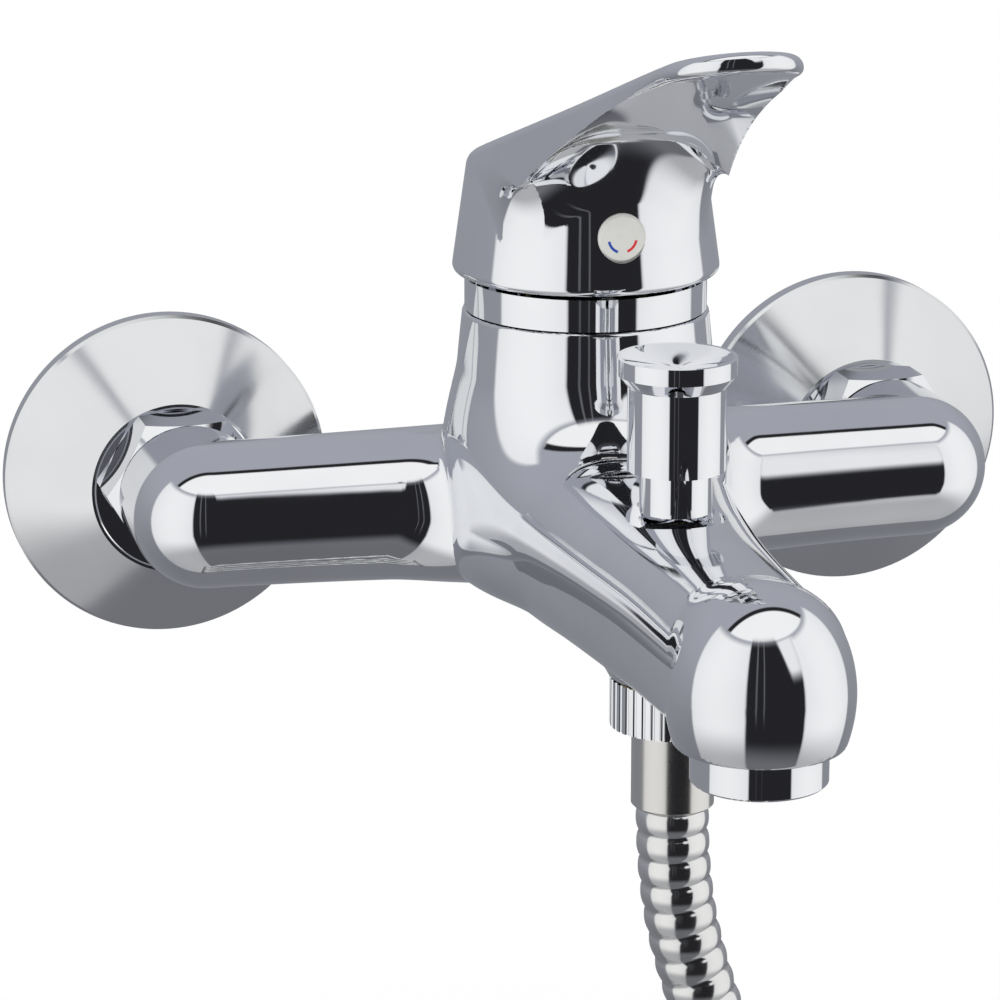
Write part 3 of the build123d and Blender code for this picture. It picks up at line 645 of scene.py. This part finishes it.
# %% [markdown]
# The spout's section is an oval, a little square at its corners, which changes along the
# spout. A table gives it at seven places, and `flow` runs smoothly through them. The nose is
# half an egg that the spout ends in. Below the knob a round boss holds the hose nut. What
# has to fit the engineering pieces is read from their boxes.

# %% Casting: the spout
# from the wall: the place, half the width, top, underside, and height of the widest line
spout_places, spout_w, spout_top, spout_low, spout_wide_z = np.array([
    (57.0, 25.5, 25.0, -18.5, 2.0),
    (84.0, 23.0, 18.8, -18.5, 0.0),
    (101.0, 20.8, 16.2, -17.4, -1.5),
    (118.0, 19.0, 14.9, -16.5, -2.5),
    (143.0, 17.3, 14.1, -15.0, -3.5),
    (156.0, 17.0, 13.7, -14.0, -4.0),
    (169.0, 16.9, 13.3, -12.8, -4.0)]).T
spout_square, least_slope = 2.6, 0.0001
nose_r, nose_foot_r, nose_wide_z, nose_top, nose_low = 17.0, 15.4, -4.0, 15.3, -13.4
nose_cover, nose_fillet, least_fillet = 0.15, 5.0, 0.1
boss_rim, boss_gap, boss_fillet = 0.3, 0.4, 2.0
boss_r, boss_low = half_width("hose_nut") + boss_rim, reach("hose_nut")[1].z + boss_gap


def nose_egg(x, y, z):
    """The round nose, without its flat underside."""
    out, rise = np.hypot(x, y - nose_y), z - nose_wide_z
    dome = oval(out, rise, nose_r, nose_top - nose_wide_z)
    foot = out - nose_r + (nose_r - nose_foot_r) * (rise / (nose_low - nose_wide_z)) ** 2
    return np.where(rise > 0, dome, foot)


def spout(x, y, z):
    """The spout with its nose and outlet boss, and how far its flank faces down."""
    wide_z, top, low, wide = (flow(-y, spout_places, sizes) for sizes in (
        spout_wide_z, spout_top, spout_low, spout_w))
    rise = z - wide_z
    height = np.where(rise > 0, top - wide_z, wide_z - low)
    shank = oval(x, rise, wide, height, spout_square)
    aside = np.abs(x / wide) ** (spout_square - 1) / wide
    downwards = np.maximum(-rise / height, 0) ** (spout_square - 1) / height
    downwards = downwards / np.maximum(np.hypot(aside, downwards), least_slope)
    egg = nose_egg(x, y, z)
    past_nose = np.where(y < nose_y, egg + nose_cover, -nose_r)
    shank = np.maximum(shank, np.maximum(y - body_y, past_nose))
    nose = meet(egg, nose_low - z, edge_round)
    boss = meet(np.hypot(x, y - knob_y) - boss_r, boss_low - z, edge_round)
    rising = np.clip((z - nose_wide_z) / (nose_top - nose_wide_z), 0, 1) ** 2
    whole = join(shank, nose, least_fillet + nose_fillet * rising)
    return join(whole, np.maximum(boss, z), boss_fillet), downwards


print("boss", round(2 * boss_r, 1), "mm across, down to", round(boss_low, 1), "mm")


# %% [markdown]
# A casting is hollow where water, cartridge and diverter go. Each hollow is a plain round
# hole. Where a piece sits in it, its size comes from that piece. The diverter's hollow leaves
# half a millimetre above the valve plate when the knob is pulled right up.

# %% Casting: hollows
loose, snug, valve_room, bonnet_room = 0.35, 0.05, 1.2, 0.4
knob_pull, valve_gap, below_all = 7.5, 0.5, 10.0
stem_bore_r, bonnet_thread = 5.6, 3.6
insert_r, insert_rise = 7.2, 12.0
arm_bore_r, hole_round = 8.5, 0.5
valve_low = reach("shower_outlet")[1].z
valve_high = reach("diverter_valve")[1].z + knob_pull + valve_gap
bonnet_low = reach("diverter_bonnet")[0].z
round_holes = [
    (body_y, half_width("cartridge_base") + loose, reach("port_seals")[0].z, ring_high.z),
    (body_y, half_width("cartridge_nut") + snug, reach("cartridge_nut")[0].z, ring_high.z),
    (knob_y, half_width("shower_outlet") + snug, boss_low - below_all, valve_low),
    (knob_y, half_width("diverter_valve") + valve_room, valve_low, valve_high),
    (knob_y, stem_bore_r, valve_low, bonnet_low),
    (knob_y, half_width("diverter_bonnet") + bonnet_room, bonnet_low - bonnet_thread,
     bonnet_low),
    (nose_y, half_width("aerator_housing") + loose, nose_low - below_all, nose_low),
    (nose_y, half_width("aerator_washer") + snug, nose_low - below_all,
     reach("aerator_washer")[1].z),
    (nose_y, insert_r, nose_low - below_all, nose_wide_z + insert_rise)]
print("round holes:", [round(2 * hole_r, 1) for _, hole_r, _, _ in round_holes])


# %% [markdown]
# Now the casting is put together. Where two undersides lie level with each other, a fillet
# would only raise a bulge, so it shrinks there. The shallow recess round the knob's neck is
# drilled afterwards, because its rim shows.

# %% Casting: the whole
arm_fillet, spout_fillet, under_fillet = 4.0, 12.0, 20.0
casting_cell, recess_r = 0.9, 9.3


def casting(x, y, z):
    """The whole casting."""
    below = np.clip(-z / arm_r, 0, 1)
    fillet = least_fillet + arm_fillet * (1 - below ** 2)
    solid = join(barrel(x, y, z), arms(x, y, z), fillet)
    nozzle, downwards = spout(x, y, z)
    fillet = spout_fillet + (under_fillet - spout_fillet) * below
    solid = join(solid, nozzle, least_fillet + fillet * (1 - (below * downwards) ** 2))
    for hole_y, hole_r, low, high in round_holes:
        hole = np.maximum(np.hypot(x, y - hole_y) - hole_r, np.maximum(low - z, z - high))
        solid = meet(solid, -hole, hole_round)
    inlet = np.maximum(np.hypot(np.abs(x) - inlet_x, z) - arm_bore_r, arm_y - y)
    return np.maximum(solid, -inlet)


body = net_piece("tap_casting", casting, "main_body", casting_cell, cast_chrome)
bore(body, recess_r, (0, knob_y, bonnet_low), (0, knob_y, ring_high.z))
soften(body, casting)
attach(body, "root")
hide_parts("main_body")


# %% [markdown]
# The lever is a cap that covers the cartridge. Its front rises into a thumb rest. Seen from
# above, it narrows from the cap to a round tip with slightly hollow sides. Lengths along the
# lever are counted forwards from the cap's axis.

# %% Lever: from above
lever_low = reach("lever_handle")[0]
sleeve_r, sleeve_draft = 26.6, 0.1405
tip_t, tip_r, tip_z, waist = 90.0, 12.4, 106.0, 1.2


def lever_plan(x, t, cone_r, end_r):
    """The lever's outline seen from above, and how far along it a point lies."""
    lean = (cone_r - end_r) / tip_t
    run = np.sqrt(1 - lean ** 2)
    along = t * run - np.abs(x) * lean
    share = np.clip(along / (tip_t * run), 0, 1)
    flank = np.abs(x) * run + t * lean - cone_r
    ahead = np.where(share < 1, flank, np.hypot(x, t - tip_t) - end_r)
    plan = np.where(along < 0, np.hypot(x, t) - cone_r, ahead)
    return plan + waist * (4 * share * (1 - share)) ** 2, share


print("lever", tip_t + tip_r, "mm from its axis to its tip")


# %% [markdown]
# Below, the thumb rest is scooped out between two thin edges, its lips. They run forwards
# and up from a crease in front of the cap. Behind the crease a slanting gusset under each
# side carries the thumb rest into the cap.

# %% Lever: from below
crease_t, crease_z = 26.0, 71.0
lip_rise, lip_bend, lip_back_rise = 0.64, 0.0027, 0.15
lip_round, tip_round, tip_reach = 0.1, 1.8, 1.2
scoop_wall, scoop_back_t, scoop_drop, scoop_least = 3.0, 30.0, 0.018, 0.6
# the scale turns a height above the gusset's slant into about a distance from it
gusset_l, gusset_slant, gusset_scale = 12.0, 2.0, 2.2


def lever_below(t, z, top, plan, half):
    """How far below the thumb rest a point lies, and how round its edge is there."""
    ahead = t - crease_t
    lip = crease_z + np.where(ahead > 0, lip_rise * ahead - lip_bend * ahead ** 2,
                              lip_back_rise * ahead)
    crown = 1 - np.clip(1 + plan / half, 0, 1) ** 3
    ceiling = top - scoop_wall - scoop_drop * np.maximum(scoop_back_t - t, 0) ** 2
    scoop = lip + np.maximum(ceiling - lip, scoop_least) * crown
    behind = np.clip(-ahead / gusset_l, 0, 1)
    gusset = (lip + gusset_slant * np.minimum(plan, 0) - z) / gusset_scale
    at_tip = np.clip((t - tip_t) / tip_r + tip_reach, 0, 1)
    rounding = lip_round + (tip_round - lip_round) * (at_tip + behind)
    return (scoop - z) * (1 - behind) + gusset * behind, rounding


print("crease", crease_t, "mm ahead of the axis, at a height of", crease_z, "mm")


# %% [markdown]
# The cap is hollow too: thin walls round the cartridge, and in the middle a hub with the
# square socket that grips the spindle.

# %% Lever: hollows
sleeve_wall, cavity_top, hub_r, hub_low = 1.7, 57.0, 8.6, 50.0
square_w, square_gap = 8.1, 0.4
square_top = reach("cartridge_spindle")[1].z + square_gap


def lever_hollow(x, t, z, cone_r):
    """The room in the cap and the square socket."""
    from_axis = np.hypot(x, t)
    room = np.maximum(from_axis - cone_r + sleeve_wall, z - cavity_top)
    room = np.maximum(room, -np.maximum(from_axis - hub_r, hub_low - z))
    square = np.maximum(np.maximum(np.abs(x), np.abs(t)) - square_w / 2, z - square_top)
    return np.minimum(room, square)


print("square socket up to", round(square_top, 1), "mm")


# %% [markdown]
# Cap and thumb rest are joined with a fillet that grows forwards, then the top is cut along
# one slightly bent slope. The seat of the index button and the grub screw's hole behind it
# are drilled from the front.

# %% Lever: the whole
# the top's height over the axis, how it rises and bends, and the rounding of its rim
rest_z, rest_rise, rest_bend, rest_round = 74.0, 0.36, 0.00022, 2.0
sleeve_round, cap_fillet, cap_fillet_growth = 1.6, 8.0, 0.9
lever_cell, grub_r, button_gap = 0.56, 2.55, 0.1
button_r, button_back = half_width("index_button") + snug, button_high.y + button_gap


def lever(x, y, z):
    """The thumb rest and the cap below it."""
    t = body_y - y
    cone_r = sleeve_r - sleeve_draft * (z - lever_low.z)
    end_r = tip_r - sleeve_draft * (z - tip_z)
    top = rest_z + rest_rise * t - rest_bend * t ** 2
    plan, share = lever_plan(x, t, cone_r, end_r)
    below, rounding = lever_below(t, z, top, plan, cone_r + (end_r - cone_r) * share)
    blade = meet(plan, below, rounding)
    cap = np.hypot(x, t) - cone_r
    fillet = no_fillet + np.clip((cap - plan) * cap_fillet_growth, 0, cap_fillet)
    solid = meet(join(blade, cap, fillet), z - top, rest_round)
    solid = meet(solid, lever_low.z - z, sleeve_round)
    return np.maximum(solid, -lever_hollow(x, t, z, cone_r))


handle = net_piece("lever_cap", lever, "lever_handle", lever_cell, lever_chrome)
front = (button_mid.x, lever_low.y, button_mid.z)
bore(handle, button_r, front, (button_mid.x, button_back, button_mid.z))
bore(handle, grub_r, front, (button_mid.x, body_y, button_mid.z))
soften(handle, lever)
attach(handle, "lever")
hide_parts("lever_handle")


# %% [markdown]
# The shower hose is wound from a metal strip whose edges hook into each other. It looks like
# a row of smooth rounded rings. Its middle line is one smooth spline through the points of
# its route: down out of the ferrule, leaning a little, then three turns of a tied coil and a
# straight end with a cone nut. Each hanging step is a length and the angle it runs at.

# %% The hose's route
hose_d = 14.0
exit_z = reach("hose_ferrule")[0].z
tail_top = reach("end_ferrule")[1].z
hang = [(12, -90), (20, -80), (30, -70), (36, -92), (36, -117), (36, -140), (36, -150)]
coil_r, coil_turns, coil_pitch, coil_start = 71.0, 3.0 + 1.0 / 6.0, 14.6, 120.0
points_per_turn = 16


def at_angle(length, angle):
    """How far across and how far up a length at some angle, in degrees, goes."""
    return length * cos(radians(angle)), length * sin(radians(angle))


route = [(0.0, knob_y, exit_z)]
for length, angle in hang:
    (last_x, last_y, last_z), (across, up) = route[-1], at_angle(length, angle)
    route.append((last_x + across, last_y, last_z + up))
join_x, join_y, join_z = route[-1]
across, up = at_angle(coil_r, coil_start)
coil_x, coil_z = join_x - across, join_z - up
steps = round(coil_turns * points_per_turn)
for i in range(1, steps + 1):
    share = i / steps
    across, up = at_angle(coil_r, coil_start + 360.0 * coil_turns * share)
    route.append((coil_x + across, join_y + coil_turns * coil_pitch * share, coil_z + up))
end_x, end_y, end_z = route[-1]
route += [(end_x, end_y, end_z + (tail_top - end_z) * share) for share in (0.25, 0.6, 1.0)]
print("route of", len(route), "points, coil round x", round(coil_x, 1), "z", round(coil_z, 1))


# %% [markdown]
# The points become the control points of one NURBS curve. Turned into a plain line, it gives
# the hose's real length.

# %% The hose's middle line
curve = bpy.data.curves.new("hose route", "CURVE")
curve.dimensions = "3D"
curve.resolution_u = 12
spline = curve.splines.new("NURBS")
spline.points.add(len(route) - 1)
for point, xyz in zip(spline.points, route):
    point.co = (*(Vector(xyz) * mm), 1.0)
spline.order_u = 3
spline.use_endpoint_u = True
line_source = bpy.data.objects.new("hose route", curve)
line_mesh = bpy.data.meshes.new_from_object(line_source)
bpy.data.objects.remove(line_source)
line = np.array([v.co for v in line_mesh.vertices])
hose_length = float(np.linalg.norm(np.diff(line, axis=0), axis=1).sum())
print("hose length", round(hose_length, 3), "m")


# %% [markdown]
# Geometry Nodes make the rings. The spline is cut into short equal steps, a few to each
# ring, and the tube's radius follows a rounded wave along it: wide over each ring and
# narrow in the groove where two rings hook together. One tube with no gaps is the result.

# %% Rings of the hose
ring_pitch, ring_roundness, groove_depth = 5.0, 0.55, 0.75
steps_per_ring, tube_sides = 8, 32
rings = bpy.data.node_groups.new("hose rings", "GeometryNodeTree")
ring_inputs = [
    ("Route", "NodeSocketGeometry", None),
    ("Radius", "NodeSocketFloat", hose_d / 2 * mm),
    ("Groove", "NodeSocketFloat", groove_depth * mm),
    ("Steps", "NodeSocketInt", 100),
    ("Steps per ring", "NodeSocketInt", steps_per_ring),
    ("Sides", "NodeSocketInt", tube_sides),
    ("Finish", "NodeSocketMaterial", None)]
for name, kind, value in ring_inputs:
    socket = rings.interface.new_socket(name, in_out="INPUT", socket_type=kind)
    if value is not None:
        socket.default_value = value
rings.interface.new_socket("Hose", in_out="OUTPUT", socket_type="NodeSocketGeometry")
given = rings.nodes.new("NodeGroupInput").outputs
hose_r, groove, per_ring = (Maths(rings, given[name]) for name in (
    "Radius", "Groove", "Steps per ring"))
resample = node(rings, "GeometryNodeResampleCurve", {"mode": "COUNT"},
                {"Curve": given["Route"], "Count": given["Steps"]})
phase = node(rings, "GeometryNodeInputIndex").modulo(per_ring) / per_ring
swell = (phase * pi).sine().power(ring_roundness)
circle = node(rings, "GeometryNodeCurvePrimitiveCircle", {"mode": "RADIUS"},
              {"Resolution": given["Sides"], "Radius": 1.0})
tube = node(rings, "GeometryNodeCurveToMesh", {},
            {"Curve": resample, "Profile Curve": circle, "Fill Caps": True,
             "Scale": hose_r - groove * (1 - swell)})
smooth = node(rings, "GeometryNodeSetShadeSmooth", {}, {"Geometry": tube, "Shade Smooth": True})
whole = node(rings, "GeometryNodeRealizeInstances", {}, {"Geometry": smooth})
done = node(rings, "GeometryNodeSetMaterial", {}, {"Geometry": whole, "Material": given["Finish"]})
plug(rings, rings.nodes.new("NodeGroupOutput").inputs[0], done)
print("hose rings:", len(rings.nodes), "nodes")


# %% [markdown]
# The tree runs as a modifier on the curve, and what it makes is kept as a plain mesh. It
# takes the place of the engineering model's hose, which is hidden.

# %% The hose
def grown(name, source, tree, values):
    """Runs a geometry tree on some data and returns the result as a plain mesh object."""
    holder = bpy.data.objects.new(name + " source", source)
    scene.collection.objects.link(holder)
    modifier = holder.modifiers.new(name, "NODES")
    modifier.node_group = tree
    for item in tree.interface.items_tree:
        if item.item_type == "SOCKET" and item.in_out == "INPUT" and item.name in values:
            modifier[item.identifier] = values[item.name]
    piece = bpy.data.objects.new(name, plain_mesh(holder))
    bpy.data.objects.remove(holder)
    scene.collection.objects.link(piece)
    return piece


ring_count = round(hose_length / mm / ring_pitch)
hose = grown("shower_hose_rings", curve, rings,
             {"Steps": ring_count * steps_per_ring + 1, "Finish": hose_strip})
print("hose:", ring_count, "rings,", len(hose.data.polygons), "faces")
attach(hose, "root")
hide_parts("shower_hose", "hose_coil", "hose_tail")


# %% [markdown]
# A chrome tap shows the studio more than itself. The floor is pale below the tap and glows
# white further out, so that it has no visible end.

# %% Floor
white = (1.0, 1.0, 1.0)
floor_z = cad_box[0].z - 0.03
floor_size, floor_near, floor_far = 12.0, 0.3, 0.75


def seen_directly(tree):
    """1 for rays from the camera, and for those that a mirror or a glass passes on."""
    rays = tree.nodes.new("ShaderNodeLightPath")
    camera_ray, glossy, through = (Maths(tree, rays.outputs[name]) for name in (
        "Is Camera Ray", "Is Glossy Ray", "Is Transmission Ray"))
    return camera_ray.either(glossy).either(through)


bpy.ops.mesh.primitive_plane_add(size=floor_size, location=(0, 0, floor_z))
floor = bpy.context.object
floor.name = "studio_floor"
pale_floor, tree, shader = material("pale floor")
shader.inputs["Base Color"].default_value = (0.9, 0.9, 0.9, 1.0)
shader.inputs["Roughness"].default_value = 0.8
x, y, _ = three_numbers(tree, object_place(tree))
glow = node(tree, "ShaderNodeEmission", {}, {"Color": white, "Strength": 1.0})
far = x.hypot(y).step(floor_near, floor_far) * seen_directly(tree)
blend = node(tree, "ShaderNodeMixShader", {}, {0: far, 1: shader.outputs[0], 2: glow})
plug(tree, tree.nodes["Material Output"].inputs["Surface"], blend)
paint(floor, pale_floor)
print("floor at", round(floor_z, 3), "m")


# %% [markdown]
# The world behind it all is the same white where it is seen directly, and a little darker
# as a light.

# %% World
world_light = (0.8, 0.8, 0.82)
world = bpy.data.worlds.new("pale world")
world.use_nodes = True
scene.world = world
tree = world.node_tree
background = tree.nodes["Background"]
plug(tree, background.inputs["Color"], mix(tree, seen_directly(tree), world_light, white))
background.inputs["Strength"].default_value = 1.0
print("world light", world_light)


# %% [markdown]
# Round the tap stands a light tent that only reflections see. It is a sphere, pressed flat
# just above the floor.

# %% Light tent
tent_r, tent_middle, tent_lift = 1.3, Vector((0.0, -0.1, 0.0)), 0.005
bpy.ops.mesh.primitive_uv_sphere_add(segments=96, ring_count=48, radius=tent_r,
                                     location=tent_middle)
tent = bpy.context.object
tent.name = "light_tent"
for vertex in tent.data.vertices:
    vertex.co.z = max(vertex.co.z, floor_z + tent_lift)
tent.visible_camera = False
tent.visible_diffuse = False
tent.visible_transmission = False
tent.visible_shadow = False
print("tent", 2 * tent_r, "m across")


# %% [markdown]
# What the chrome mirrors is drawn on the tent's cloth: an upright soft box on each side, a
# bright lid overhead with a dark edge, and the dark gap in front where the camera looks in.
# The gap's top slants down to the right, with a pale card above it, and two thin lines of
# light stand in it that fade below the horizon. Every place on the cloth is two angles in
# degrees: round the tap, from 0 in front, and up from the horizon.

# %% Cloth of the tent
cloth_grey, low_grey, gap_dark = (0.40, 0.41, 0.46), (0.2, 0.205, 0.225), (0.02, 0.02, 0.023)
# sides are from, to and softness; the rest are from, to, and the values there if not 0 and 1
box_sides, box_top, box_low = (34, 104, 2.0), (40, 47, 1.0, 0.0), (-45, -22, 0.35, 1.0)
box_middle, box_bright, box_falloff = 69, 0.98, 0.00012
gap_sides, gap_slant, gap_low = (-33, 33, 1.0), (5, 22, 47, 14), (-48, -30, 0.25, 1.0)
below_slant, above_slant, grey_rise = (-6, 6, 1.0, 0.0), (-6, 6), (-60, 40)
line_sides, line_low, line_bright = [(-23, -21, 0.4), (-14, -12.5, 0.4)], (-25, -5), 0.3
card_sides, card_top, card_bright = (8, 35, 7.0), (44, 48, 1.0, 0.0), 0.85
# how far the lid and its edge reach towards the wall is a share of the tent's radius
lid_low, lid_back, lid_edge_back = (46, 49), (-0.09, -0.06, 1.0, 0.0), (-0.14, -0.04, 0.02)

tent_cloth = bpy.data.materials.new("tent cloth")
tent_cloth.use_nodes = True
tree = tent_cloth.node_tree
x, y, z = three_numbers(tree, object_place(tree))
azimuth = x.arctan2(0 - y) * degrees(1)
height = z.arctan2(x.hypot(y)) * degrees(1)
aside, back = azimuth.size(), y / tent_r
side_box = aside.between(*box_sides) * height.step(*box_top)
side_glow = box_bright - (aside - box_middle) * (aside - box_middle) * box_falloff
lid = height.step(*lid_low) * back.step(*lid_back)
lid_edge = height.step(*lid_low) * back.between(*lid_edge_back)
over_gap = height - azimuth.step(*gap_slant)
gap = azimuth.between(*gap_sides) * over_gap.step(*below_slant)
card = azimuth.between(*card_sides) * over_gap.step(*above_slant) * height.step(*card_top)
first_line, second_line = (azimuth.between(*sides) for sides in line_sides)
lines = (first_line + second_line) * height.step(*line_low) * line_bright
cloth = mix(tree, height.step(*grey_rise), low_grey, cloth_grey)
cloth = mix(tree, side_box * side_glow * height.step(*box_low), cloth, white)
cloth = mix(tree, card * card_bright, cloth, white)
cloth = mix(tree, lid, cloth, white)
cloth = mix(tree, lid_edge, cloth, gap_dark)
cloth = mix(tree, gap * (1 - lines) * height.step(*gap_low), cloth, gap_dark)
glow = node(tree, "ShaderNodeEmission", {}, {"Color": cloth, "Strength": 1.0})
plug(tree, tree.nodes["Material Output"].inputs["Surface"], glow)
paint(tent, tent_cloth)
tent_cloth.cycles.emission_sampling = "NONE"
print("cloth of the tent:", len(tree.nodes), "nodes")


# %% [markdown]
# The tap's own light comes from the pale world and from three soft lamps, two in front and
# one above. Reflections don't see the lamps, because the tent already has soft boxes there.

# %% Lamps
def lamp(name, place, size, power):
    """A square soft lamp that points at the tap; place and size are in metres."""
    data = bpy.data.lights.new(name, "AREA")
    data.size = size
    data.energy = power
    made = bpy.data.objects.new(name, data)
    made.location = place
    made.rotation_mode = "QUATERNION"
    made.rotation_quaternion = (tent_middle - Vector(place)).to_track_quat("-Z", "Y")
    made.visible_glossy = False
    scene.collection.objects.link(made)


lamp("soft lamp left", (-0.9, -0.9, 0.6), 0.8, 6.0)
lamp("soft lamp right", (0.9, -0.9, 0.5), 0.8, 4.0)
lamp("soft lamp above", (0.0, -0.2, 1.1), 0.9, 5.0)
print("lamps:", [light.name for light in bpy.data.lights])
